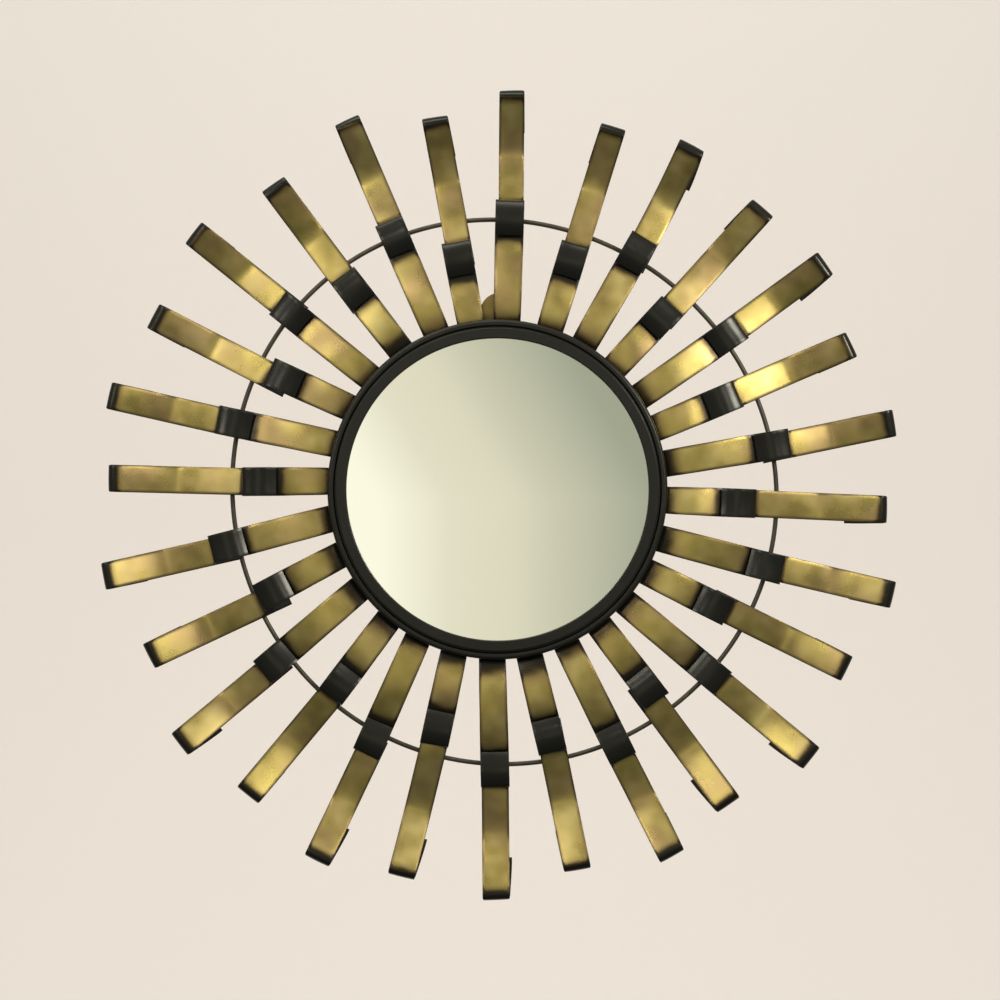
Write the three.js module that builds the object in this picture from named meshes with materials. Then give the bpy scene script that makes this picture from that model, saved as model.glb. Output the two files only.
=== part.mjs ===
// A round wall mirror in a fan of twenty-eight bent metal rays.
//
// Millimetres, +Z up, the mirror faces -Y and its back lies on the wall plane y = 0.
// The origin is the middle of the back plate's flat back, where the mirror bears on the wall.
// Heights are measured from the wall towards the room, so a height h lies at y = -h.

import * as THREE from 'three';

// ---- driving dimensions -------------------------------------------------------------

const metalThickness = 1.5;
const stripWidth = 25.4;
const clearance = 0.3;

// Dish-shaped frame with its glass
const glassSightRadius = 142;
const glassRadius = 150;
const glassThickness = 3;
const glassBackHeight = 27;
const frameRadius = 160;
const frameFaceHeight = 34;
const faceOuterRadius = 152;
const lipHeight = 31;
const dishFloorRadius = 90;
const dishWall = 1.5;
const dishSkirtHeight = 21;
const lipCorner = 2;
const grooveWidth = 1;
const grooveDepth = 2.5;
const faceEdge = 0.6;

// Back plate with its hanging tab
const plateRadius = 146;
const plateThickness = 2;
const tabWidth = 38;
const tabTop = 187;
const tabShift = 2.4;
const nailHoleRadius = 4;
const nailHoleHeight = 172;

// Wire hoop behind the rays
const hoopRadius = 258;
const wireRadius = 2.25;
const hoopHeight = 5.2;
const hoopShift = { x: 6.6, z: -2.4 };
const hoopBow = 6;
const wireSides = 6;
const hoopSteps = 56;

// Rays
const rayCount = 28;
const roundSteps = 48;
const fanShift = { x: 2.8, z: -3.3 };
const hubEnd = { radius: 135, height: 3.1 };
const longRay = {
  crest: 194, loopStart: 244, loopEnd: 277, seatHeight: 8.5, seatEnd: 266, dip: 318, tip: 380 };
const shortRay = {
  crest: 186, loopStart: 214, loopEnd: 246, seatHeight: 12.6, seatEnd: 236, dip: 300, tip: 365 };
const crestHeight = 21;
const floorLength = 14;
const loopFloorRise = 0.6;
const loopTurn = THREE.MathUtils.degToRad(68);
const loopBendRadius = 4.2;
const loopLipRise = 7;
const outerInset = 7;
const dipHeight = 3.2;
const tipHeight = 19;
const tipBendRadius = 5.5;
const tipSlope = THREE.MathUtils.degToRad(18);
const returnSlope = THREE.MathUtils.degToRad(10);
const returnLength = 34;

// How far each curve is pulled along its tangents before it turns; the shares are of its length
const hubPull = { along: 6, lift: 9.9 };
const crestPullShare = { before: 0.6, after: 0.55 };
const floorPull = 4;
const lipPullShare = { along: 0.8, lift: 0.45 };
const seatPull = 12;
const dipPull = { before: 8, after: 6 };
const tipPull = 18;

// Degrees that the strips lean off the fan's own lines, anticlockwise from hub to tip.
const innerLeanMean = 1.5;
const innerLeanSwing = 1.6;
const leanSide = Math.PI / 3;
const longOuterLean = 1.7;
const shortOuterLean = 0.5;
const outerLeanJitter = 0.6;

// The rays were bent and set by eye. From the top ray round, in the order they stand:
// degrees that each stands clockwise of its even place,
const turnByEye = [
  2.1, 4.3, 4.1, 4.3, 3.6, 2.9, 3.3, 2.4, 2.2, 1.5, 2.2, 2.5, 1.0, 1.3,
  1.0, 1.9, 1.2, 1.4, 1.1, 0.9, 1.3, 2.5, 1.6, 1.3, 2.3, 2.4, 3.6, 3.2,
];
// how far its loop slips sideways,
const slipByEye = [
  -1, -1.5, -1.5, -1.5, 1, 0.5, -1.5, 0, 1.5, 2, -1, -4, -0.5, 0.5,
  0, 0, 1.5, -0.5, 2.5, 5.5, 2, 0, 0.5, 3.5, -2, 1, -1.5, -2,
];
// how far its loop stands out past its drawn place,
const foldByEye = [
  0, 0, 0, -5.5, 0, -2.5, 1, -5, -0.5, -2.5, 0, 0, 0, 4,
  1, 0, 1, 5, 5, 3.5, 2, -2, 0, 1, 0, 8, 1.5, -5,
];
// and how far its outer strip reaches past its drawn length.
const reachByEye = [
  1, -2, -4, 2, -3, -4, -1, 1, 4, 3, 7, 1, 0.5, -1,
  5, 10, 9, 8, 6, 2, 4, 6, 2, 4, 1, -2, 2, -4,
];

// ---- finishes -----------------------------------------------------------------------

function finish(color, roughness, metalness) {
  return new THREE.MeshStandardMaterial({ color, roughness, metalness });
}

const brassGold = () => finish(0x96833f, 0.38, 1);
const darkBronze = () => finish(0x2c2a24, 0.42, 0.9);
const silveredGlass = () => finish(0xdfe3d2, 0.04, 1);

// ---- shapes -------------------------------------------------------------------------

const object = new THREE.Group();

function addPiece(name, geometry, material) {
  const piece = new THREE.Mesh(geometry, material);
  piece.name = name;
  object.add(piece);
  return piece;
}

// Turns a (radius, height) outline about the mirror's own axis, facing the room.
function turned(outline, segments) {
  const points = outline.map(([radius, height]) => new THREE.Vector2(radius, height));
  const geometry = new THREE.LatheGeometry(points, segments);
  geometry.rotateX(Math.PI);
  return geometry;
}

// Closed outline of a metal strip seen from its edge, from the middle line of its thickness.
function stripOutline(middleLine) {
  const front = [];
  const back = [];
  middleLine.forEach((point, index) => {
    const before = middleLine[Math.max(index - 1, 0)];
    const after = middleLine[Math.min(index + 1, middleLine.length - 1)];
    const along = after.clone().sub(before).normalize();
    const across = new THREE.Vector2(-along.y, along.x).multiplyScalar(metalThickness / 2);
    front.push(point.clone().add(across));
    back.push(point.clone().sub(across));
  });
  return new THREE.Shape([...front, ...back.reverse()]);
}

// Samples a chain of curves, each with its own number of steps, as one line of points.
function sampleChain(chain) {
  const points = [];
  for (const [curve, steps] of chain) {
    const part = curve.getPoints(steps);
    points.push(...(points.length ? part.slice(1) : part));
  }
  return points;
}

function bezier(start, startPull, endPull, end) {
  return new THREE.CubicBezierCurve(start, startPull, endPull, end);
}

function arc(centre, radius, fromAngle, toAngle, clockwise) {
  return new THREE.EllipseCurve(
    centre.x, centre.y, radius, radius, fromAngle, toAngle, clockwise);
}

const at = (radius, height) => new THREE.Vector2(radius, height);

// Inner strip: up from the hub, over a crest, down, and folded forward into a loop
// whose dark back shows as a band.
function innerLine(ray) {
  const floorHeight = ray.seatHeight + metalThickness + clearance;
  const hub = at(hubEnd.radius, hubEnd.height);
  const crest = at(ray.crest, crestHeight);
  const floor = at(ray.loopStart + floorLength, floorHeight);
  const riseLength = crest.x - hub.x;
  const fallLength = floor.x - crest.x;
  const bendCentre = at(
    ray.loopEnd - loopBendRadius - metalThickness / 2,
    floorHeight + loopFloorRise + loopBendRadius);
  const bendStart = at(bendCentre.x, bendCentre.y - loopBendRadius);
  const bendEnd = at(
    bendCentre.x + loopBendRadius * Math.cos(loopTurn),
    bendCentre.y + loopBendRadius * Math.sin(loopTurn));
  const lip = at(ray.loopStart, floorHeight + loopLipRise);
  const pull = (ray.loopEnd - ray.loopStart) / 3;
  return sampleChain([
    [bezier(
      hub,
      at(hub.x + hubPull.along, hub.y + hubPull.lift),
      at(crest.x - crestPullShare.before * riseLength, crest.y),
      crest), 4],
    [bezier(
      crest,
      at(crest.x + crestPullShare.after * fallLength, crest.y),
      at(floor.x - floorPull, floor.y),
      floor), 4],
    [new THREE.LineCurve(floor, bendStart), 1],
    [arc(bendCentre, loopBendRadius, -Math.PI / 2, loopTurn, false), 4],
    [bezier(
      bendEnd,
      at(bendEnd.x - pull * Math.sin(loopTurn), bendEnd.y + pull * Math.cos(loopTurn)),
      at(lip.x + pull * lipPullShare.along, lip.y + pull * lipPullShare.lift),
      lip), 3],
  ]);
}

// Outer strip: flat where it is welded under the loop, down over the hoop to a dip,
// up to the tip, and bent back behind itself.
function outerLine(ray) {
  const start = at(ray.loopStart + outerInset, ray.seatHeight);
  const seatEnd = at(ray.seatEnd, ray.seatHeight);
  const dip = at(ray.dip, dipHeight);
  const bendCentre = at(
    ray.tip - tipBendRadius - metalThickness / 2,
    tipHeight - tipBendRadius * Math.cos(tipSlope));
  const bendStart = at(
    bendCentre.x - tipBendRadius * Math.sin(tipSlope), tipHeight);
  const bendEnd = at(
    bendCentre.x + tipBendRadius * Math.sin(returnSlope),
    bendCentre.y - tipBendRadius * Math.cos(returnSlope));
  const end = at(
    bendEnd.x - returnLength * Math.cos(returnSlope),
    bendEnd.y - returnLength * Math.sin(returnSlope));
  return sampleChain([
    [new THREE.LineCurve(start, seatEnd), 1],
    [bezier(
      seatEnd,
      at(seatEnd.x + seatPull, seatEnd.y),
      at(dip.x - dipPull.before, dip.y),
      dip), 4],
    [bezier(
      dip,
      at(dip.x + dipPull.after, dip.y),
      at(bendStart.x - tipPull, bendStart.y - tipPull * Math.tan(tipSlope)),
      bendStart), 4],
    [arc(bendCentre, tipBendRadius, Math.PI / 2 + tipSlope, returnSlope - Math.PI / 2, true), 4],
    [new THREE.LineCurve(bendEnd, end), 1],
  ]);
}

function stripGeometry(middleLine) {
  const geometry = new THREE.ExtrudeGeometry(
    stripOutline(middleLine), { depth: stripWidth, bevelEnabled: false });
  return geometry.translate(0, 0, -stripWidth / 2);
}

// Turns a strip about its own point at pivotRadius, then sets it in the fan at its angle.
function setInFan(piece, angle, lean, pivotRadius, slip) {
  const outward = new THREE.Vector3(Math.sin(angle), 0, Math.cos(angle));
  const clockwise = new THREE.Vector3(Math.cos(angle), 0, -Math.sin(angle));
  const pivot = new THREE.Vector3(fanShift.x, 0, fanShift.z)
    .addScaledVector(outward, pivotRadius)
    .addScaledVector(clockwise, slip);
  const along = new THREE.Vector3(Math.sin(angle + lean), 0, Math.cos(angle + lean));
  const toRoom = new THREE.Vector3(0, -1, 0);
  const across = new THREE.Vector3().crossVectors(along, toRoom);
  piece.quaternion.setFromRotationMatrix(new THREE.Matrix4().makeBasis(along, toRoom, across));
  piece.position.copy(pivot).addScaledVector(along, -pivotRadius);
}

// ---- back plate ---------------------------------------------------------------------

function backPlate() {
  const outline = new THREE.Shape();
  const halfTab = tabWidth / 2;
  const tabCentre = tabTop - halfTab;
  const leftShoulder = Math.asin((halfTab - tabShift) / plateRadius);
  const rightShoulder = Math.asin((halfTab + tabShift) / plateRadius);
  outline.absarc(
    0, 0, plateRadius, Math.PI / 2 + leftShoulder, Math.PI / 2 - rightShoulder, false);
  outline.absarc(tabShift, tabCentre, halfTab, 0, Math.PI, false);
  const nailHole = new THREE.Path();
  nailHole.absarc(tabShift, nailHoleHeight, nailHoleRadius, 0, Math.PI * 2, true);
  outline.holes.push(nailHole);
  const geometry = new THREE.ExtrudeGeometry(
    outline, { depth: plateThickness, bevelEnabled: false, curveSegments: 20 });
  return geometry.rotateX(Math.PI / 2);
}

addPiece('back_plate', backPlate(), darkBronze());

// ---- frame --------------------------------------------------------------------------

function frameDish() {
  const floorBack = plateThickness + clearance;
  const floorFront = floorBack + dishWall;
  const seatFront = glassBackHeight + glassThickness + clearance;
  const seatRadius = glassRadius + clearance;
  const grooveFloor = lipHeight - grooveDepth;
  return turned([
    [0, floorBack],
    [dishFloorRadius, floorBack],
    [frameRadius - lipCorner, dishSkirtHeight],
    [frameRadius, dishSkirtHeight + lipCorner],
    [frameRadius, lipHeight - lipCorner],
    [frameRadius - lipCorner, lipHeight],
    [faceOuterRadius + 2 * grooveWidth, lipHeight],
    [faceOuterRadius + grooveWidth, grooveFloor],
    [faceOuterRadius, grooveFloor],
    [faceOuterRadius, frameFaceHeight - faceEdge],
    [faceOuterRadius - faceEdge, frameFaceHeight],
    [glassSightRadius + faceEdge, frameFaceHeight],
    [glassSightRadius, frameFaceHeight - faceEdge],
    [glassSightRadius, seatFront],
    [seatRadius, seatFront],
    [seatRadius, dishSkirtHeight],
    [dishFloorRadius, floorFront],
    [0, floorFront],
  ], roundSteps);
}

addPiece('frame_dish', frameDish(), darkBronze());

// ---- glass --------------------------------------------------------------------------

addPiece('mirror_glass', turned([
  [0, glassBackHeight],
  [glassRadius, glassBackHeight],
  [glassRadius, glassBackHeight + glassThickness],
  [0, glassBackHeight + glassThickness],
], roundSteps), silveredGlass());

// ---- wire hoop ----------------------------------------------------------------------

// The wire was bowed by hand: pulled in above on the right, pushed out above on the left.
class HoopLine extends THREE.Curve {
  getPoint(share, target = new THREE.Vector3()) {
    const turn = share * Math.PI * 2;
    const bow = hoopBow * Math.sin(2 * turn) * (1 + Math.cos(turn)) / 2;
    const radius = hoopRadius - bow;
    return target.set(radius * Math.sin(turn), -hoopHeight, radius * Math.cos(turn));
  }
}

const hoopShape = new THREE.TubeGeometry(new HoopLine(), hoopSteps, wireRadius, wireSides, true);
const hoop = addPiece('wire_hoop', hoopShape, darkBronze());
hoop.position.set(hoopShift.x, 0, hoopShift.z);

// ---- rays ---------------------------------------------------------------------------

const stripShapes = new Map([longRay, shortRay].map((ray) => [
  ray,
  { inner: stripGeometry(innerLine(ray)), outer: stripGeometry(outerLine(ray)) },
]));

for (let index = 0; index < rayCount; index += 1) {
  const ray = index % 2 === 0 ? longRay : shortRay;
  const shapes = stripShapes.get(ray);
  const label = String(index + 1).padStart(2, '0');
  const degrees = (360 / rayCount) * index + turnByEye[index];
  const angle = THREE.MathUtils.degToRad(degrees);

  // The fan's left side leans anticlockwise from hub to loop, its right side hardly at all.
  const innerLean = THREE.MathUtils.degToRad(
    innerLeanSwing * Math.cos(angle - leanSide) - innerLeanMean);
  const outerLean = THREE.MathUtils.degToRad(
    outerLeanJitter * Math.sin(index * 2) - (ray === longRay ? longOuterLean : shortOuterLean));

  const inner = addPiece(`ray_${label}_inner_strip`, shapes.inner, brassGold());
  setInFan(inner, angle, innerLean, ray.loopEnd, slipByEye[index]);
  const outer = addPiece(`ray_${label}_outer_strip`, shapes.outer, brassGold());
  setInFan(outer, angle, outerLean, ray.loopEnd, 0);
  const outward = new THREE.Vector3(Math.sin(angle), 0, Math.cos(angle));
  inner.position.addScaledVector(outward, foldByEye[index]);
  outer.position.addScaledVector(outward, reachByEye[index]);
}

export default object;
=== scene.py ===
import math

import bmesh
import bpy
from mathutils import Matrix, Vector, noise
from mathutils.geometry import interpolate_bezier


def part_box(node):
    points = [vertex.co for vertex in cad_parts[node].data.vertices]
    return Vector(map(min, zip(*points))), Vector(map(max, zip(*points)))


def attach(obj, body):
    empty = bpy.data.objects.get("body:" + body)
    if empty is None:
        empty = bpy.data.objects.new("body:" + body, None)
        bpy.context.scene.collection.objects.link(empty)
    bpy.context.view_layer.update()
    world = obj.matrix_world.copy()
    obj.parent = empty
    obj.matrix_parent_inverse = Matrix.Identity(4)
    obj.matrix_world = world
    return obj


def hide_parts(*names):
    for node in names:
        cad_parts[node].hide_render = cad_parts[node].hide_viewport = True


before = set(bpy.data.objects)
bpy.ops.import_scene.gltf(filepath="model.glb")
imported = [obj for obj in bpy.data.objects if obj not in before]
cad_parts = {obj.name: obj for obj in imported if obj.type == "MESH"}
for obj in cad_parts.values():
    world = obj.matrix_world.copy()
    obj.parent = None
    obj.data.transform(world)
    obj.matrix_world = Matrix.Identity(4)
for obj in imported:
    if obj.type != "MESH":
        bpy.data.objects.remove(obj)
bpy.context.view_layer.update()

print("frame loaded:", len(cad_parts), "nodes")

mm = 0.001
hair = 1e-6  # metres; two points closer than this are one
toRoom = Vector((0, -1, 0))  # a height above the wall runs along -Y


def smoothStep(low, high, value):
    t = min(max((value - low) / (high - low), 0.0), 1.0)
    return t * t * (3 - 2 * t)


def newVerts(grown):
    return [g for g in grown if isinstance(g, bmesh.types.BMVert)]


def linkMesh(bm, name):
    mesh = bpy.data.meshes.new(name)
    bm.to_mesh(mesh)
    bm.free()
    made = bpy.data.objects.new(name, mesh)
    bpy.context.scene.collection.objects.link(made)
    return made


def makePiece(bm, name, nodes, slotName, *materials):
    piece = linkMesh(bm, name)
    for material in materials:
        piece.data.materials.append(material)
    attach(piece, "root")
    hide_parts(*nodes)
    return piece


def shadeSmooth(piece, angle):
    for polygon in piece.data.polygons:
        polygon.use_smooth = True
    piece.data.set_sharp_from_angle(angle=math.radians(angle))


def roundEdges(piece, width, segments, angle):
    bevel = piece.modifiers.new("edge rounding", "BEVEL")
    bevel.width = width
    bevel.segments = segments
    bevel.limit_method = "ANGLE"
    bevel.angle_limit = math.radians(angle)
    bevel.harden_normals = False


class NodeTree:
    # adds nodes to one material or world and wires them by name
    def __init__(self, owner):
        owner.use_nodes = True
        self.tree = owner.node_tree
        self.tree.nodes.clear()

    def add(self, kind, **settings):
        node = self.tree.nodes.new(kind)
        for key, value in settings.items():
            setattr(node, key, value)
        return node

    def link(self, source, target):
        self.tree.links.new(source, target)

    def value(self, socket, source):
        # a number or a colour is set on the socket, anything else is linked to it
        if isinstance(source, (int, float)):
            socket.default_value = source
        elif isinstance(source, tuple):
            socket.default_value = (*source, 1)
        else:
            self.link(source, socket)

    def math(self, operation, first, second=0.0, clamp=False):
        node = self.add("ShaderNodeMath", operation=operation, use_clamp=clamp)
        self.value(node.inputs[0], first)
        self.value(node.inputs[1], second)
        return node.outputs[0]

    def times(self, first, second, clamp=False):
        return self.math("MULTIPLY", first, second, clamp)

    def plus(self, first, second, clamp=False):
        return self.math("ADD", first, second, clamp)

    def minus(self, first, second):
        return self.math("SUBTRACT", first, second)

    def mixColor(self, factor, first, second):
        node = self.add("ShaderNodeMix", data_type="RGBA")
        self.value(node.inputs[0], factor)
        self.value(node.inputs[6], first)
        self.value(node.inputs[7], second)
        return node.outputs[2]

    def objectPlace(self):
        return self.add("ShaderNodeTexCoord").outputs["Object"]

    def attribute(self, name):
        return self.add("ShaderNodeAttribute", attribute_name=name).outputs["Fac"]

    def noise(self, vector, scale, detail, rough):
        node = self.add("ShaderNodeTexNoise")
        self.link(vector, node.inputs["Vector"])
        node.inputs["Scale"].default_value = scale
        node.inputs["Detail"].default_value = detail
        node.inputs["Roughness"].default_value = rough
        return node.outputs["Fac"]

    def ramp(self, factor, stops, interpolation="LINEAR"):
        node = self.add("ShaderNodeValToRGB")
        node.color_ramp.interpolation = interpolation
        elements = node.color_ramp.elements
        while len(elements) < len(stops):
            elements.new(1.0)
        for element, (position, color) in zip(elements, stops):
            element.position = position
            element.color = (*color, 1) if isinstance(color, tuple) else (color, color, color, 1)
        self.link(factor, node.inputs[0])
        return node.outputs[0]

    def bump(self, height, strength, distance):
        node = self.add("ShaderNodeBump")
        node.inputs["Strength"].default_value = strength
        node.inputs["Distance"].default_value = distance
        self.link(height, node.inputs["Height"])
        return node.outputs[0]

    def surface(self, color):
        shader = self.add("ShaderNodeBsdfPrincipled")
        self.value(shader.inputs["Base Color"], color)
        self.link(shader.outputs[0], self.add("ShaderNodeOutputMaterial").inputs[0])
        return shader


brass = {
    "gold": (0.50, 0.385, 0.125),
    "olive": (0.385, 0.308, 0.090),
    "pale": (0.61, 0.49, 0.185),
    "copper": (0.41, 0.275, 0.135),
    # brown and bronze are the dark coat, and also the colour of the painted shade and shadow
    "brown": (0.17, 0.115, 0.050),
    "bronze": (0.0180, 0.0176, 0.0132),
    "goldRoughness": 0.29,
    "bronzeRoughness": 0.24,
    "bronzeMetal": 0.55,
    "cloud": (48, 1.5, 0.45),  # scale, detail and roughness of each noise
    "speckle": (380, 2.0, 0.5),
    "broad": (27, 1.0, 0.5),
    "dents": (60, 1.0, 0.3),
    "cloudColor": 2.0,  # how far cloud and speckle spread the gold between olive and pale
    "speckleColor": 0.05,
    "colorMiddle": 1.03,
    "copperFrom": 0.47,
    "copperRise": 5.0,
    "copperShare": 0.60,
    "coatPush": 3.0,
    "brownRise": 1.5,
    "darkFrom": 0.20,
    "metalUntil": 0.75,
    "cloudRoughness": 0.17,
    "speckleRoughness": 0.03,
    "dentStrength": 0.13,
    "dentDepth": 1.2 * mm,
}


def airbrushedBrassAndShade():
    # brass spray over dark bronze; the coat attribute says how dark each place is: the dark spray, and also
    # painted shade near the frame and along the long edges, and a painted shadow beside the loops
    material = bpy.data.materials.new("airbrushedBrassAndShade")
    nodes = NodeTree(material)
    place = nodes.objectPlace()
    coatAndShade, tone = nodes.attribute("coatAndShade"), nodes.attribute("tone")
    cloud = nodes.noise(place, *brass["cloud"])
    speckle = nodes.noise(place, *brass["speckle"])
    broad = nodes.noise(place, *brass["broad"])

    # uneven spray: the clouds push the dark coat and the painted shade in and out where they fade
    push = nodes.times(nodes.minus(cloud, 0.5), brass["coatPush"])
    fade = nodes.times(coatAndShade, nodes.minus(1.0, coatAndShade))
    pushed = nodes.plus(coatAndShade, nodes.times(push, fade), clamp=True)

    spread = nodes.plus(nodes.times(cloud, brass["cloudColor"]), nodes.times(speckle, brass["speckleColor"]))
    blend = nodes.plus(nodes.minus(spread, brass["colorMiddle"]), tone, clamp=True)
    golds = nodes.ramp(blend, [(0.0, brass["olive"]), (0.5, brass["gold"]), (1.0, brass["pale"])])
    warm = nodes.times(nodes.minus(broad, brass["copperFrom"]), brass["copperRise"], clamp=True)
    golds = nodes.mixColor(nodes.times(warm, brass["copperShare"]), golds, brass["copper"])
    browned = nodes.mixColor(nodes.times(pushed, brass["brownRise"], clamp=True), golds, brass["brown"])
    dark = nodes.ramp(pushed, [(brass["darkFrom"], 0.0), (1.0, 1.0)], "EASE")
    shader = nodes.surface(nodes.mixColor(dark, browned, brass["bronze"]))

    grain = nodes.plus(nodes.times(speckle, brass["speckleRoughness"]),
                       nodes.times(cloud, brass["cloudRoughness"]))
    meanGrain = (brass["speckleRoughness"] + brass["cloudRoughness"]) / 2
    satin = nodes.plus(grain, brass["goldRoughness"] - meanGrain)
    smoother = nodes.times(dark, brass["bronzeRoughness"] - brass["goldRoughness"])
    nodes.link(nodes.plus(satin, smoother), shader.inputs["Roughness"])
    metal = nodes.ramp(pushed, [(brass["metalUntil"], 1.0), (1.0, brass["bronzeMetal"])])
    nodes.link(metal, shader.inputs["Metallic"])
    dents = nodes.bump(nodes.noise(place, *brass["dents"]), brass["dentStrength"], brass["dentDepth"])
    nodes.link(dents, shader.inputs["Normal"])
    return material


bronze = {
    "frame": {"base": (0.0105, 0.0103, 0.0070), "lighter": (0.024, 0.022, 0.015), "roughness": 0.33},
    # the wire's lighter colour is painted gold glints
    "wire": {"base": (0.055, 0.048, 0.034), "lighter": (0.16, 0.125, 0.060), "roughness": 0.36},
    "metal": 0.4,
    "cloud": (26, 3.0, 0.6),
    "fine": (480, 3.0, 0.6),
    "orangePeel": (160, 2.0, 0.5),
    "cloudShare": 0.7,
    "fineShare": 0.3,
    "lighterBetween": (0.50, 0.72),
    "lighterShare": 0.55,
    "fineRoughness": 0.10,
    "peelStrength": 0.05,
    "peelDepth": 0.8 * mm,
}


def darkBronze(name, paint):
    # semi-gloss bronze paint with lighter patches: on the frame rubbed to brown where it is handled, on the
    # wire painted gold glints
    material = bpy.data.materials.new(name)
    nodes = NodeTree(material)
    place = nodes.objectPlace()
    cloud = nodes.noise(place, *bronze["cloud"])
    fine = nodes.noise(place, *bronze["fine"])
    lighterNoise = nodes.plus(nodes.times(cloud, bronze["cloudShare"]), nodes.times(fine, bronze["fineShare"]))
    lighterMask = nodes.ramp(lighterNoise, list(zip(bronze["lighterBetween"], (0.0, 1.0))))
    share = nodes.times(lighterMask, bronze["lighterShare"])
    shader = nodes.surface(nodes.mixColor(share, paint["base"], paint["lighter"]))
    shader.inputs["Metallic"].default_value = bronze["metal"]
    spread = bronze["fineRoughness"]
    satin = nodes.plus(nodes.times(fine, spread), paint["roughness"] - spread / 2)
    nodes.link(satin, shader.inputs["Roughness"])
    peel = nodes.bump(nodes.noise(place, *bronze["orangePeel"]), bronze["peelStrength"], bronze["peelDepth"])
    nodes.link(peel, shader.inputs["Normal"])
    return material


glass = {
    "haze": (9, 3.0, 0.6),
    "colors": ((0.90, 0.915, 0.875), (0.93, 0.94, 0.91)),
    "roughness": 0.015,
    "hazeRoughness": 0.02,
    "backCloud": (60, 4.0, 0.6),
    "backColors": ((0.16, 0.17, 0.16), (0.22, 0.23, 0.22)),
    "backRoughness": 0.5,
    "backCloudRoughness": 0.2,
    "segments": 160,
    "edge": 0.5 * mm,
}


def silveredGlass():
    material = bpy.data.materials.new("silveredGlass")
    nodes = NodeTree(material)
    haze = nodes.noise(nodes.objectPlace(), *glass["haze"])
    shader = nodes.surface(nodes.mixColor(haze, *glass["colors"]))
    shader.inputs["Metallic"].default_value = 1.0
    polish = nodes.plus(nodes.times(haze, glass["hazeRoughness"]), glass["roughness"])
    nodes.link(polish, shader.inputs["Roughness"])
    return material


def backingPaint():
    material = bpy.data.materials.new("backingPaint")
    nodes = NodeTree(material)
    cloud = nodes.noise(nodes.objectPlace(), *glass["backCloud"])
    shader = nodes.surface(nodes.mixColor(cloud, *glass["backColors"]))
    matt = nodes.plus(nodes.times(cloud, glass["backCloudRoughness"]), glass["backRoughness"])
    nodes.link(matt, shader.inputs["Roughness"])
    return material


brassFinish = airbrushedBrassAndShade()
frameFinish = darkBronze("frameBronze", bronze["frame"])
wireFinish = darkBronze("wireBronze", bronze["wire"])
glassFinish = silveredGlass()
backFinish = backingPaint()
print("finishes made")


strip = {
    "width": 25.4 * mm,
    "thick": 1.5 * mm,
    "cornerRadius": 0.45 * mm,
    "acrossSteps": 8,
    "cornerSteps": 3,
    "camber": 0.25 * mm,
    "wave": 0.50 * mm,
    "waveLength": 42 * mm,
    "twist": 2.2,
    "toneSpread": 0.16,
    "swell": 0.035,  # the inner strip widens by this share to the crest, and again to the loop
    "swellFrom": 150 * mm,
    "outerShare": 1.015,
    "tipCorner": 3.4 * mm,
    "tipDrawn": 0.09,
    "sharpAngle": 50,
}
longRay = {"crest": 194 * mm, "loopStart": 244 * mm, "loopEnd": 277 * mm, "seatHeight": 8.5 * mm,
           "seatEnd": 266 * mm, "dip": 318 * mm, "tip": 380 * mm}
shortRay = {"crest": 186 * mm, "loopStart": 214 * mm, "loopEnd": 246 * mm, "seatHeight": 12.6 * mm,
            "seatEnd": 236 * mm, "dip": 300 * mm, "tip": 365 * mm}
bend = {
    "hub": (135 * mm, 3.1 * mm),
    "hubPull": (6 * mm, 9.9 * mm),
    "crestHeight": 21 * mm,
    "crestPullIn": 0.6,
    "crestPullOut": 0.55,
    "floorGap": 1.8 * mm,
    "floorLength": 14 * mm,
    "floorRise": 0.6 * mm,
    "floorPull": 4 * mm,
    "loopRadius": 4.2 * mm,
    "loopTurn": 68,
    "lipRise": 7 * mm,
    "lipPull": (0.8, 0.45),
    "outerInset": 7 * mm,
    "seatPull": 12 * mm,
    "dipHeight": 3.2 * mm,
    "dipPullIn": 13 * mm,
    "dipPullOut": 11 * mm,
    "tipHeight": 19 * mm,
    "tipRadius": 5.5 * mm,
    "tipSlope": 18,
    "tipPull": 18 * mm,
    "returnSlope": 10,
    "returnLength": 34 * mm,
}


def curve(start, startPull, endPull, end, steps):
    return [Vector(p) for p in interpolate_bezier(start, startPull, endPull, end, steps + 1)]


def arc(centre, radius, fromDegrees, toDegrees, steps):
    turns = [math.radians(fromDegrees + (toDegrees - fromDegrees) * i / steps) for i in range(steps + 1)]
    return [centre + radius * Vector((math.cos(t), math.sin(t))) for t in turns]


def chain(*parts):
    line = list(parts[0])
    for part in parts[1:]:
        line += part[1:]
    return line


def innerLine(ray):
    # radius and height from the hub over the crest to the loop and its lip
    floorHeight = ray["seatHeight"] + bend["floorGap"]
    hub = Vector(bend["hub"])
    crest = Vector((ray["crest"], bend["crestHeight"]))
    floor = Vector((ray["loopStart"] + bend["floorLength"], floorHeight))
    rise, fall = crest.x - hub.x, floor.x - crest.x
    radius = bend["loopRadius"]
    bendCentre = Vector((ray["loopEnd"] - radius - strip["thick"] / 2,
                         floorHeight + bend["floorRise"] + radius))
    bendStart = bendCentre - Vector((0, radius))
    turn = math.radians(bend["loopTurn"])
    bendEnd = bendCentre + radius * Vector((math.cos(turn), math.sin(turn)))
    lip = Vector((ray["loopStart"], floorHeight + bend["lipRise"]))
    pull = (ray["loopEnd"] - ray["loopStart"]) / 3
    return chain(
        curve(hub, hub + Vector(bend["hubPull"]),
              crest - Vector((bend["crestPullIn"] * rise, 0)), crest, 18),
        curve(crest, crest + Vector((bend["crestPullOut"] * fall, 0)),
              floor - Vector((bend["floorPull"], 0)), floor, 18),
        [floor, (floor + bendStart) / 2, bendStart],
        arc(bendCentre, radius, -90, bend["loopTurn"], 16),
        curve(bendEnd, bendEnd + pull * Vector((-math.sin(turn), math.cos(turn))),
              lip + pull * Vector(bend["lipPull"]), lip, 14))


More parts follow.
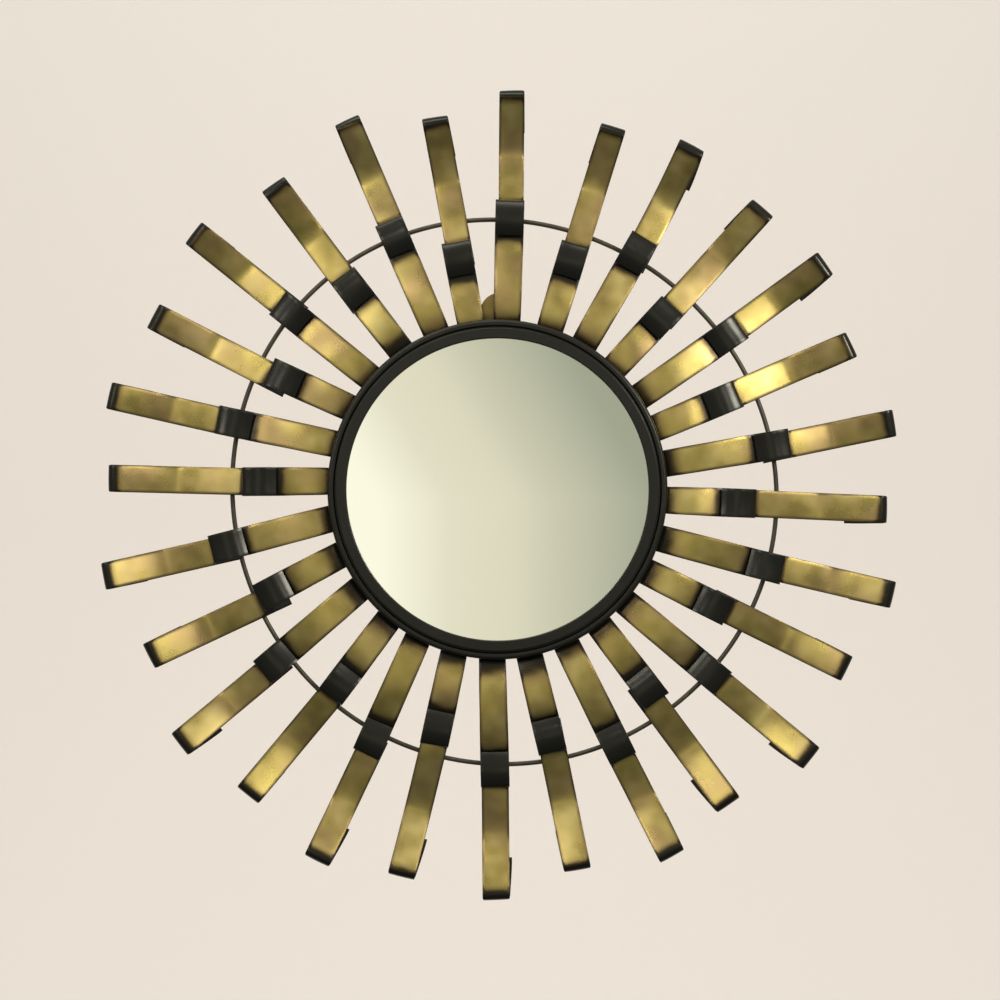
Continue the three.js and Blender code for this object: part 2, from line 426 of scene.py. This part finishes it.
def outerLine(ray):
    # radius and height from the seat under the loop through the dip to the returned tip
    start = Vector((ray["loopStart"] + bend["outerInset"], ray["seatHeight"]))
    seatEnd = Vector((ray["seatEnd"], ray["seatHeight"]))
    dip = Vector((ray["dip"], bend["dipHeight"]))
    radius = bend["tipRadius"]
    rise = math.radians(bend["tipSlope"])
    fall = math.radians(bend["returnSlope"])
    bendCentre = Vector((ray["tip"] - radius - strip["thick"] / 2,
                         bend["tipHeight"] - radius * math.cos(rise)))
    bendStart = bendCentre + radius * Vector((-math.sin(rise), math.cos(rise)))
    bendEnd = bendCentre + radius * Vector((math.sin(fall), -math.cos(fall)))
    end = bendEnd - bend["returnLength"] * Vector((math.cos(fall), math.sin(fall)))
    pull = bend["tipPull"]
    return chain(
        [start.lerp(seatEnd, i / 5) for i in range(6)],
        curve(seatEnd, seatEnd + Vector((bend["seatPull"], 0)),
              dip - Vector((bend["dipPullIn"], 0)), dip, 16),
        curve(dip, dip + Vector((bend["dipPullOut"], 0)),
              bendStart - Vector((pull, pull * math.tan(rise))), bendStart, 18),
        arc(bendCentre, radius, 90 + bend["tipSlope"], bend["returnSlope"] - 90, 18),
        [bendEnd.lerp(end, i / 8) for i in range(9)])


def stripPlace(nodeName):
    # a CAD strip's own line on the wall plane, from the spread of its corners
    points = [v.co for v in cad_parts[nodeName].data.vertices]
    middle = sum(points, Vector()) / len(points)
    spreadX = sum((p.x - middle.x) ** 2 for p in points)
    spreadZ = sum((p.z - middle.z) ** 2 for p in points)
    spreadXZ = sum((p.x - middle.x) * (p.z - middle.z) for p in points)
    turn = math.atan2(2 * spreadXZ, spreadX - spreadZ) / 2
    along = Vector((math.cos(turn), 0, math.sin(turn)))
    if along.dot(middle) < 0:
        along.negate()
    side = toRoom.cross(along)
    return along, side, max(p.dot(along) for p in points), middle.dot(side)


def sectionLoop(bm):
    # rounded rectangle in the plane across the strip, as one closed loop of edges
    bmesh.ops.create_grid(bm, x_segments=strip["acrossSteps"], y_segments=1, size=0.5)
    bmesh.ops.scale(bm, vec=(strip["width"], strip["thick"], 1), verts=bm.verts)
    corners = [v for v in bm.verts if len(v.link_edges) == 2]
    bmesh.ops.bevel(bm, geom=corners, offset=strip["cornerRadius"], segments=strip["cornerSteps"],
                    profile=0.5, affect="VERTICES", material=-1)
    bmesh.ops.delete(bm, geom=bm.faces[:], context="FACES_ONLY")
    nearFace = 0.4 * strip["thick"]
    inside = []  # edges that cross the section from its front to its back
    for edge in bm.edges:
        first, second = edge.verts[0].co, edge.verts[1].co
        if abs(first.x - second.x) < hair and min(abs(first.y), abs(second.y)) > nearFace \
                and first.y * second.y < 0:
            inside.append(edge)
    bmesh.ops.delete(bm, geom=inside, context="EDGES")
    return bm.edges[:]


def sweepStrip(line, hand, coatAndShadeAt):
    # the section is extruded step by step along the bent line
    bm = bmesh.new()
    layers = bm.verts.layers.float
    for name in ("along", "across", "depth", "coatAndShade", "tone"):
        layers.new(name)
    alongLayer, acrossLayer, depthLayer = layers["along"], layers["across"], layers["depth"]
    coatAndShadeLayer, toneLayer = layers["coatAndShade"], layers["tone"]
    loop = sectionLoop(bm)
    for v in bm.verts:
        v[acrossLayer] = v.co.x
        v[depthLayer] = v.co.y
    reach = [0.0]
    for before, after in zip(line, line[1:]):
        reach.append(reach[-1] + (after - before).length)
    verts = bm.verts[:]
    half = strip["width"] / 2
    for index, point in enumerate(line):
        if index:
            grown = bmesh.ops.extrude_edge_only(bm, edges=loop)["geom"]
            verts = newVerts(grown)
            edges = {g for g in grown if isinstance(g, bmesh.types.BMEdge)}
            loop = [e for e in edges if e.verts[0] in verts and e.verts[1] in verts]
        ahead = line[min(index + 1, len(line) - 1)] - line[max(index - 1, 0)]
        direction = ahead.normalized()
        normal = Vector((-direction.y, direction.x))
        share = reach[index] / reach[-1]
        for v in verts:
            across, depth = v[acrossLayer], v[depthLayer]
            wave = hand["wave"](reach[index], across)
            rise = depth + wave - strip["camber"] * (across / half) ** 2
            rise += across * math.tan(math.radians(hand["twist"](share)))
            v.co = (point.x + normal.x * rise,
                    across * hand["width"](point.x) - hand["sway"](point.x, share),
                    point.y + normal.y * rise)
            v[alongLayer] = reach[index]
            v[coatAndShadeLayer] = coatAndShadeAt(reach[index], across / half, depth)
            v[toneLayer] = hand["tone"]
    bmesh.ops.holes_fill(bm, edges=bm.edges[:], sides=0)
    bmesh.ops.recalc_face_normals(bm, faces=bm.faces[:])
    uvLayer = bm.loops.layers.uv.new("strip")
    for face in bm.faces:
        for corner in face.loops:
            corner[uvLayer].uv = (corner.vert[alongLayer], corner.vert[acrossLayer])
    return bm


sprayAndShade = {
    "frontFrom": 0.42,  # shares of the thickness, from the middle to the face that is gold
    "frontFull": 0.495,
    # painted shade along the long edges
    "edges": [(0.12, 0.80, 0.94), (0.5, 0.93, 0.985)],  # darkness and where it starts and is full
    # near the hub: dark spray and painted shade where the strips come out from under the frame
    "hubStart": 160 * mm,
    "hubFade": 21 * mm,
    "hubDark": 0.92,
    "hubSpread": 1.5 * mm,
    "loopMargin": 2 * mm,
    "loopFade": (-13 * mm, 1 * mm),
    # painted shadow on the outer strip where it comes out from under the loop
    "shadowMargin": 1 * mm,
    "shadowFade": 7 * mm,
    "tipMargin": 4 * mm,
    "tipFade": 11 * mm,
    "tipSpread": 1.2 * mm,
}


def lineLengthTo(line, radius):
    # how far along the line it first reaches that distance from the hub
    travelled = 0.0
    for before, after in zip(line, line[1:]):
        if after.x >= radius:
            return travelled
        travelled += (after - before).length
    return travelled


def coatAndShadeAround(depth, across, coatAndShade):
    # only the side that faced the spray is gold, and it darkens to its long edges: painted shade along the
    # edges
    edge = sum(dark * smoothStep(start, full, abs(across)) for dark, start, full in sprayAndShade["edges"])
    front = smoothStep(strip["thick"] * sprayAndShade["frontFrom"], strip["thick"] * sprayAndShade["frontFull"], depth)
    return 1.0 + (min(1.0, coatAndShade + edge) - 1.0) * front


def innerCoatAndShade(line, ray, spread):
    hubDark = lineLengthTo(line, sprayAndShade["hubStart"]) + spread
    loopDark = lineLengthTo(line, ray["loopStart"] + sprayAndShade["loopMargin"]) + spread
    before, after = sprayAndShade["loopFade"]

    def coatAndShadeAt(along, across, depth):
        # dark spray and painted shade near the frame, dark spray before the loop
        nearHub = sprayAndShade["hubDark"] * (1 - smoothStep(hubDark, hubDark + sprayAndShade["hubFade"], along))
        nearLoop = smoothStep(loopDark + before, loopDark + after, along)
        return coatAndShadeAround(depth, across, max(nearHub, nearLoop))
    return coatAndShadeAt


def outerCoatAndShade(line, ray, loopEdge, spread):
    loopDark = lineLengthTo(line, loopEdge - sprayAndShade["shadowMargin"])
    tipDark = lineLengthTo(line, ray["tip"] - sprayAndShade["tipMargin"]) + spread

    def coatAndShadeAt(along, across, depth):
        # painted shadow of the loop where the outer strip comes out from under it, dark spray at the tip
        nearLoop = 1 - smoothStep(loopDark, loopDark + sprayAndShade["shadowFade"], along)
        nearTip = smoothStep(tipDark - sprayAndShade["tipFade"], tipDark, along)
        return coatAndShadeAround(depth, across, max(nearLoop, nearTip))
    return coatAndShadeAt


def handOf(seed, width, sway):
    # what bending by hand leaves: gentle waves, a little twist and sideways sway;
    # the odd factors on the seed only keep the strips unlike one another
    def wave(along, across):
        spot = Vector((along / strip["waveLength"], across / strip["waveLength"], seed * 7.31))
        return strip["wave"] * noise.noise(spot)

    def twist(share):
        return strip["twist"] * math.sin(seed * 2.7 + share * 3.0)

    return {
        "wave": wave,
        "twist": twist,
        "width": width,
        "sway": sway,
        "tone": 0.5 + strip["toneSpread"] * math.sin(seed * 3.9),
    }


# what single rays show, listed by their numbers
byHand = {
    "curved": {3: -4 * mm, 6: 1.5 * mm, 16: 1.5 * mm},
    "curveTurns": 0.4,
    "narrowed": {1: 0.08, 2: 0.06, 27: 0.04, 28: 0.04},
    "slippedReturn": {3: 3 * mm, 4: -1.5 * mm, 5: 3 * mm, 8: 2 * mm, 11: 3 * mm, 12: 3 * mm,
                      15: -2.5 * mm, 16: -2.5 * mm, 17: -2.5 * mm, 19: -3 * mm},
    "smallSlip": 0.6 * mm,
    "slipFrom": 0.72,
}


def innerWidth(ray):
    def width(radius):
        return 1.0 + strip["swell"] * smoothStep(strip["swellFrom"], ray["crest"], radius) \
            + strip["swell"] * smoothStep(ray["crest"], ray["loopStart"], radius)
    return width


def outerWidth(ray, number):
    # the corners draw in where the metal goes round the tip
    full = strip["outerShare"] - byHand["narrowed"].get(number, 0.0)

    def width(radius):
        corner = max(0.0, (radius - ray["tip"] + strip["tipCorner"]) / strip["tipCorner"])
        return full - strip["tipDrawn"] * corner ** 2
    return width


def outerSway(ray, number):
    curved = byHand["curved"].get(number, 0.0)
    slipped = byHand["slippedReturn"].get(number, byHand["smallSlip"] * math.sin(number * 2.3))

    def sway(radius, share):
        past = (radius - ray["loopEnd"]) / (ray["tip"] - ray["loopEnd"])
        bow = curved * past * (past - byHand["curveTurns"]) if past > 0 else 0.0
        return bow + smoothStep(byHand["slipFrom"], 1.0, share) * slipped
    return sway


def noSway(radius, share):
    return 0.0


def addStrip(name, nodeName, place, lineEnd, line, hand, coatAndShadeAt):
    bm = sweepStrip(line, hand, coatAndShadeAt)
    along, side, reach, sideways = place
    turn = Matrix((along, side, toRoom)).transposed().to_4x4()
    shift = Matrix.Translation(along * (reach - lineEnd) + side * sideways)
    bmesh.ops.transform(bm, matrix=shift @ turn, verts=bm.verts)
    shadeSmooth(makePiece(bm, name, [nodeName], "antique_gold", brassFinish), strip["sharpAngle"])


rayCount = len([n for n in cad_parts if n.endswith("_outer_strip")])
for number in range(1, rayCount + 1):
    ray = longRay if number % 2 else shortRay
    innerNode = f"ray_{number:02d}_inner_strip"
    outerNode = f"ray_{number:02d}_outer_strip"
    innerPlace, outerPlace = stripPlace(innerNode), stripPlace(outerNode)
    loopEdge = innerPlace[2] - outerPlace[2] + ray["tip"]  # the loop's edge on the outer strip's line

    line = innerLine(ray)
    addStrip(f"innerStrip{number:02d}", innerNode, innerPlace, ray["loopEnd"], line,
             handOf(number + 0.3, innerWidth(ray), noSway),
             innerCoatAndShade(line, ray, sprayAndShade["hubSpread"] * math.sin(number * 5.1)))

    line = outerLine(ray)
    addStrip(f"outerStrip{number:02d}", outerNode, outerPlace, ray["tip"], line,
             handOf(number + 50.7, outerWidth(ray, number), outerSway(ray, number)),
             outerCoatAndShade(line, ray, loopEdge, sprayAndShade["tipSpread"] * math.sin(number * 3.3)))
print("rays bent:", rayCount)


dish = {
    "sight": 142 * mm,
    "faceOuter": 152 * mm,
    "faceEdge": 0.6 * mm,
    "groove": [(2.4 * mm, 0.3 * mm), (1.4 * mm, 2.5 * mm), (0.1 * mm, 2.5 * mm)],  # out and down
    "glassRadius": 150 * mm,
    "floorRadius": 90 * mm,
    "floorInset": 1 * mm,
    "wall": 1.5 * mm,
    "skirt": 21 * mm,
    "skirtEdge": 2 * mm,
    "lip": 31 * mm,
    "lipRadius": 3 * mm,
    "gap": 0.3 * mm,
    "steps": 192,
    "rounding": 0.35 * mm,
}


def spinOutline(outline, steps):
    bm = bmesh.new()
    verts = [bm.verts.new((radius, -height, 0)) for radius, height in outline]
    edges = [bm.edges.new(pair) for pair in zip(verts, verts[1:])]
    bmesh.ops.spin(bm, geom=verts + edges, cent=(0, 0, 0), axis=(0, 1, 0),
                   angle=2 * math.pi, steps=steps, use_merge=True)
    bmesh.ops.remove_doubles(bm, verts=bm.verts[:], dist=hair)
    bmesh.ops.recalc_face_normals(bm, faces=bm.faces[:])
    return bm


def frameOutline():
    # radius and height, from the middle of the back round the lip and face to the inside
    low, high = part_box("frame_dish")
    outer = high.x
    back, face = -high.y, -low.y
    seat = -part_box("mirror_glass")[0].y + dish["gap"]
    seatRadius = dish["glassRadius"] + dish["gap"]
    faceEdge, lipRadius = dish["faceEdge"], dish["lipRadius"]
    lip = arc(Vector((outer - lipRadius, dish["lip"] - lipRadius)), lipRadius, 0, 90, 6)
    return [
        (0, back),
        (dish["floorRadius"], back),
        (outer - dish["skirtEdge"], dish["skirt"]),
        (outer, dish["skirt"] + dish["skirtEdge"]),
        *[(p.x, p.y) for p in lip],
        *[(dish["faceOuter"] + out, dish["lip"] - down) for out, down in dish["groove"]],
        (dish["faceOuter"], face - faceEdge),
        (dish["faceOuter"] - faceEdge, face),
        (dish["sight"] + faceEdge, face),
        (dish["sight"], face - faceEdge),
        (dish["sight"], seat),
        (seatRadius, seat),
        (seatRadius, dish["skirt"]),
        (dish["floorRadius"] - dish["floorInset"], back + dish["wall"]),
        (0, back + dish["wall"]),
    ]


piece = makePiece(spinOutline(frameOutline(), dish["steps"]), "frameDish", ["frame_dish"],
                  "dark_bronze", frameFinish)
roundEdges(piece, dish["rounding"], 3, 35)
shadeSmooth(piece, 30)
print("frame turned")


def glassPane():
    low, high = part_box("mirror_glass")
    bm = bmesh.new()
    made = bmesh.ops.create_circle(bm, cap_ends=True, segments=glass["segments"], radius=high.x)
    bmesh.ops.rotate(bm, cent=(0, 0, 0), matrix=Matrix.Rotation(math.pi / 2, 3, "X"), verts=made["verts"])
    bmesh.ops.translate(bm, vec=(0, low.y, 0), verts=made["verts"])
    grown = bmesh.ops.extrude_face_region(bm, geom=bm.faces[:], use_keep_orig=True)["geom"]
    bmesh.ops.translate(bm, vec=(0, high.y - low.y, 0), verts=newVerts(grown))
    bmesh.ops.recalc_face_normals(bm, faces=bm.faces[:])
    rims = [e for e in bm.edges if abs(e.verts[0].co.y - e.verts[1].co.y) < hair]
    bmesh.ops.bevel(bm, geom=rims, offset=glass["edge"], segments=2, profile=0.5,
                    affect="EDGES", material=-1)
    for face in bm.faces:
        face.material_index = 1 if face.normal.y > 0.7 else 0  # the back is painted
    return bm


makePiece(glassPane(), "mirrorGlass", ["mirror_glass"], "mirror", glassFinish, backFinish)
print("glass set")


wire = {
    "sides": 14,
    "steps": 224,
    "radius": 2.25 * mm,
    "hoopRadius": 258 * mm,
    "hoopCentre": (6.6 * mm, -2.4 * mm),
    "bow": 6 * mm,
}


def wireHoop():
    # the wire was bowed by hand: pulled in above on the right, pushed out above on the left
    low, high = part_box("wire_hoop")
    centreX, centreZ = wire["hoopCentre"]
    bm = bmesh.new()
    made = bmesh.ops.create_circle(bm, segments=wire["sides"], radius=wire["radius"])
    bmesh.ops.translate(bm, vec=(wire["hoopRadius"], 0, 0), verts=made["verts"])
    bmesh.ops.spin(bm, geom=bm.verts[:] + bm.edges[:], cent=(0, 0, 0), axis=(0, 1, 0),
                   angle=2 * math.pi, steps=wire["steps"], use_merge=True)
    for v in bm.verts:
        turn = math.atan2(v.co.x, v.co.z)
        bow = wire["bow"] * math.sin(2 * turn) * (1 + math.cos(turn)) / 2
        flat = Vector((v.co.x, 0, v.co.z))
        v.co -= flat.normalized() * bow
    bmesh.ops.translate(bm, vec=(centreX, (low.y + high.y) / 2, centreZ), verts=bm.verts)
    bmesh.ops.recalc_face_normals(bm, faces=bm.faces[:])
    return bm


shadeSmooth(makePiece(wireHoop(), "wireHoop", ["wire_hoop"], "dark_bronze", wireFinish), 60)
print("hoop bent")


plate = {
    "radius": 146 * mm,
    "rimSteps": 160,
    "tabWidth": 38 * mm,
    "tabShift": 2.4 * mm,
    "tabSteps": 32,
    "nailRadius": 4 * mm,
    "nailHeight": 172 * mm,
    "bareTab": 0.72,  # how much of the dark coat is missing on the tab
    "bareBetween": (4 * mm, 20 * mm),
    "tone": 0.2,
    "rounding": 0.3 * mm,
}


def backPlate():
    low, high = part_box("back_plate")
    halfTab = plate["tabWidth"] / 2
    shift = plate["tabShift"]
    domeCentre = high.z - halfTab
    bm = bmesh.new()
    coatAndShadeLayer = bm.verts.layers.float.new("coatAndShade")
    toneLayer = bm.verts.layers.float.new("tone")

    def trace(centre, radius, fromAngle, toAngle, steps):
        # an arc of corners about a centre on the plate, ends returned
        spot = centre + radius * Vector((math.cos(fromAngle), 0, math.sin(fromAngle)))
        start = bm.verts.new(spot)
        made = bmesh.ops.spin(bm, geom=[start], cent=centre, axis=(0, -1, 0),
                              angle=toAngle - fromAngle, steps=steps)["geom_last"]
        return start, newVerts(made)[0]

    left = math.pi / 2 + math.asin((halfTab - shift) / plate["radius"])
    right = math.pi * 2.5 - math.asin((halfTab + shift) / plate["radius"])
    rimLeft, rimRight = trace(Vector(), plate["radius"], left, right, plate["rimSteps"])
    domeRight, domeLeft = trace(Vector((shift, 0, domeCentre)), halfTab, 0, math.pi, plate["tabSteps"])
    bm.edges.new((rimLeft, domeLeft))
    bm.edges.new((rimRight, domeRight))
    trace(Vector((shift, 0, plate["nailHeight"])), plate["nailRadius"], 0, 2 * math.pi, plate["tabSteps"])
    bmesh.ops.remove_doubles(bm, verts=bm.verts[:], dist=hair)
    bmesh.ops.triangle_fill(bm, use_beauty=True, edges=bm.edges[:])
    grown = bmesh.ops.extrude_face_region(bm, geom=bm.faces[:], use_keep_orig=True)["geom"]
    bmesh.ops.translate(bm, vec=(0, low.y, 0), verts=newVerts(grown))
    bmesh.ops.recalc_face_normals(bm, faces=bm.faces[:])
    bareFrom, bareFull = plate["bareBetween"]
    for v in bm.verts:
        above = v.co.z - plate["radius"]
        v[coatAndShadeLayer] = 1 - plate["bareTab"] * smoothStep(bareFrom, bareFull, above)
        v[toneLayer] = plate["tone"]
    return bm


piece = makePiece(backPlate(), "backPlate", ["back_plate"], "dark_bronze", brassFinish)
roundEdges(piece, plate["rounding"], 2, 40)
shadeSmooth(piece, 30)
print("back plate cut")


studio = {
    "frameWidth": 0.945,  # metres across the view at the mirror
    "lookAt": (0.0024, -0.0099),
    "focusPlane": -15 * mm,
    "distance": 2.7,
    "sensor": 36,
    "cardColor": (0.79, 0.738, 0.695),
    "cardRoughness": 0.9,
    "cardGlow": 0.21,
    "cardReach": 8,  # metres to each side
    "floorStart": 0.2,
    "floorHeight": -1.25,
    "wallBehind": 4.2,
    "wallRise": 5,
    "cove": 1.2,
}


def setCamera():
    data = bpy.data.cameras.new("camera")
    camera = bpy.data.objects.new("camera", data)
    bpy.context.scene.collection.objects.link(camera)
    x, z = studio["lookAt"]
    camera.location = (x, studio["focusPlane"] - studio["distance"], z)
    camera.rotation_euler = (math.pi / 2, 0, 0)
    data.sensor_width = studio["sensor"]
    data.lens = data.sensor_width * studio["distance"] / studio["frameWidth"]
    data.clip_start, data.clip_end = 0.05, 60
    bpy.context.scene.camera = camera


def cardPaint():
    # matt card that glows a little, so it stays even far from the lamps
    material = bpy.data.materials.new("backdropPaint")
    shader = NodeTree(material).surface(studio["cardColor"])
    shader.inputs["Roughness"].default_value = studio["cardRoughness"]
    shader.inputs["Emission Color"].default_value = (*studio["cardColor"], 1)
    shader.inputs["Emission Strength"].default_value = studio["cardGlow"]
    return material


def sweepBackdrop():
    # floor that turns up into a wall, far enough back to walk round the object
    bm = bmesh.new()
    reach, floor, wall, cove = (studio[key] for key in ("cardReach", "floorHeight", "wallBehind", "cove"))
    start = bm.verts.new((-reach, studio["floorStart"], floor))
    turn = bm.verts.new((-reach, wall - cove, floor))
    bm.edges.new((start, turn))
    bmesh.ops.spin(bm, geom=[turn], cent=(-reach, wall - cove, floor + cove), axis=(1, 0, 0),
                   angle=math.pi / 2, steps=24)
    top = max(bm.verts, key=lambda v: v.co.z)
    grown = bmesh.ops.extrude_vert_indiv(bm, verts=[top])["verts"]
    bmesh.ops.translate(bm, vec=(0, 0, studio["wallRise"]), verts=grown)
    bmesh.ops.remove_doubles(bm, verts=bm.verts[:], dist=hair)
    grown = bmesh.ops.extrude_edge_only(bm, edges=bm.edges[:])["geom"]
    bmesh.ops.translate(bm, vec=(2 * reach, 0, 0), verts=newVerts(grown))
    backdrop = linkMesh(bm, "backdrop")
    backdrop.data.materials.append(cardPaint())
    for polygon in backdrop.data.polygons:
        polygon.use_smooth = True


# clock angle seen from the front, tilt off the mirror's axis, distance, size, watts and colour
lamps = {
    "windowRight": (62, 44, 2.2, (0.50, 0.40), 18, (1.0, 0.97, 0.88)),
    "lampSide": (285, 43, 2.4, (0.40, 0.35), 4, (1.0, 0.95, 0.88)),
    "lampLeft": (314, 43, 2.4, (0.45, 0.35), 5, (1.0, 0.96, 0.86)),
    "lampNear": (312, 22, 2.4, (0.36, 0.32), 2.3, (1.0, 0.98, 0.90)),
    "windowNear": (64, 23, 2.4, (0.32, 0.30), 2.2, (1.0, 0.97, 0.88)),
    "ceiling": (350, 62, 2.4, (1.8, 0.8), 20, (1.0, 0.97, 0.90)),
    "backdropWash": (0, 120, 3.4, (4.0, 1.5), 42, (1.0, 0.99, 0.97)),
}
lampTargets = {"backdropWash": (0, 4.2, 0.2)}  # the others look at the mirror


def softLight(name, clock, tilt, distance, size, power, color):
    clock, tilt = math.radians(clock), math.radians(tilt)
    location = distance * Vector((math.sin(tilt) * math.sin(clock), -math.cos(tilt),
                                  math.sin(tilt) * math.cos(clock)))
    data = bpy.data.lights.new(name, "AREA")
    data.shape = "RECTANGLE"
    data.size, data.size_y = size
    data.energy = power
    data.color = color
    lamp = bpy.data.objects.new(name, data)
    bpy.context.scene.collection.objects.link(lamp)
    lamp.location = location
    lamp.rotation_mode = "QUATERNION"
    target = Vector(lampTargets.get(name, (0, 0, 0)))
    lamp.rotation_quaternion = (target - location).to_track_quat("-Z", "Y")


room = {
    "opposite": [(0.12, (0.98, 0.95, 0.78)), (0.34, (0.76, 0.73, 0.575)), (0.54, (0.715, 0.685, 0.53)),
                 (0.72, (0.57, 0.56, 0.43)), (0.88, (0.45, 0.455, 0.345)), (1.0, (0.36, 0.375, 0.28))],
    "oppositeUntil": [(0.045, 1.0), (0.20, 0.0)],  # shares of a right angle off the mirror's axis
    "slantUp": 0.6,
    "slantRise": 9.0,
    "surround": [(0.0, (0.07, 0.07, 0.07)), (0.22, (0.125, 0.13, 0.13)), (0.38, (0.21, 0.21, 0.20)),
                 (0.52, (0.27, 0.265, 0.245)), (0.66, (0.40, 0.39, 0.36)), (0.82, (0.48, 0.465, 0.42))],
    "beyondCard": (0.84, 0.78, 0.70),
    "strength": 1.08,
}


def roomLight():
    # a pale wall opposite the mirror, a dim ceiling and a dark floor
    world = bpy.data.worlds.new("room")
    bpy.context.scene.world = world
    nodes = NodeTree(world)
    axes = nodes.add("ShaderNodeSeparateXYZ")
    nodes.link(nodes.add("ShaderNodeTexCoord").outputs["Generated"], axes.inputs[0])
    upper = nodes.math("MAXIMUM", axes.outputs["Z"], 0.0)
    slant = nodes.plus(axes.outputs["X"], nodes.times(upper, room["slantUp"]))
    across = nodes.plus(nodes.times(slant, room["slantRise"]), 0.5, clamp=True)
    opposite = nodes.ramp(across, room["opposite"])
    away = nodes.math("ARCCOSINE", nodes.times(axes.outputs["Y"], -1.0))
    wallShare = nodes.ramp(nodes.math("DIVIDE", away, math.pi / 2), room["oppositeUntil"], "EASE")
    height = nodes.plus(nodes.times(axes.outputs["Z"], 0.5), 0.5)
    lit = nodes.mixColor(wallShare, nodes.ramp(height, room["surround"]), opposite)
    seen = nodes.add("ShaderNodeLightPath").outputs["Is Camera Ray"]
    background = nodes.add("ShaderNodeBackground")
    nodes.link(nodes.mixColor(seen, lit, room["beyondCard"]), background.inputs["Color"])
    background.inputs["Strength"].default_value = room["strength"]
    nodes.link(background.outputs[0], nodes.add("ShaderNodeOutputWorld").inputs[0])


setCamera()
sweepBackdrop()
roomLight()
for name, settings in lamps.items():
    softLight(name, *settings)
bpy.context.scene.view_settings.view_transform = "Standard"
print("studio ready")
